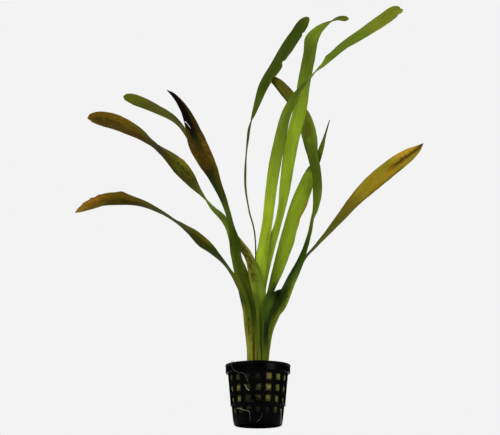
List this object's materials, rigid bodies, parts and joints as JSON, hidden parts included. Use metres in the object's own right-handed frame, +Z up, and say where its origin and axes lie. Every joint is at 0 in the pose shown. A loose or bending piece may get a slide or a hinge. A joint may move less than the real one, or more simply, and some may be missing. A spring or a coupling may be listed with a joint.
{
  "type": "potted vallisneria",
  "caption": "Live eelgrass for an aquarium: twisting green and browning ribbon leaves that rise from a mineral wool plug in a round black net pot.",
  "frame": {"origin": "middle of the pot's foot, on the surface that it stands on", "axes": "+Z up, -Y the front as pictured, +X to the viewer's right"},
  "size_m": [0.278, 0.1093, 0.3535],
  "materials": {
    "pot_plastic": "satin",
    "mineral_wool": "matte",
    "crown_tissue": "satin",
    "root_tissue": "satin",
    "green_leaf": "satin",
    "dark_green_leaf": "satin",
    "browning_leaf": "satin",
    "dying_leaf": "satin"
  },
  "bodies": {
    "root": {"net_pot": "pot_plastic", "rockwool_plug": "mineral_wool", "crown": "crown_tissue", "leaf_low_left": "browning_leaf", "leaf_brown_left": "browning_leaf", "leaf_upper_left": "dark_green_leaf", "leaf_dark_pointed": "dying_leaf", "leaf_thin_strand": "dark_green_leaf", "leaf_tall_right": "green_leaf", "leaf_tall_centre": "green_leaf", "leaf_curled_back": "dark_green_leaf", "leaf_broad_right": "green_leaf", "leaf_far_right": "browning_leaf", "root_over_rim": "root_tissue", "root_front_upper": "root_tissue", "root_front_lower": "root_tissue", "root_foot": "root_tissue", "root_right": "root_tissue", "root_back_upper": "root_tissue", "root_back_lower": "root_tissue"}
  },
  "joints": []
}
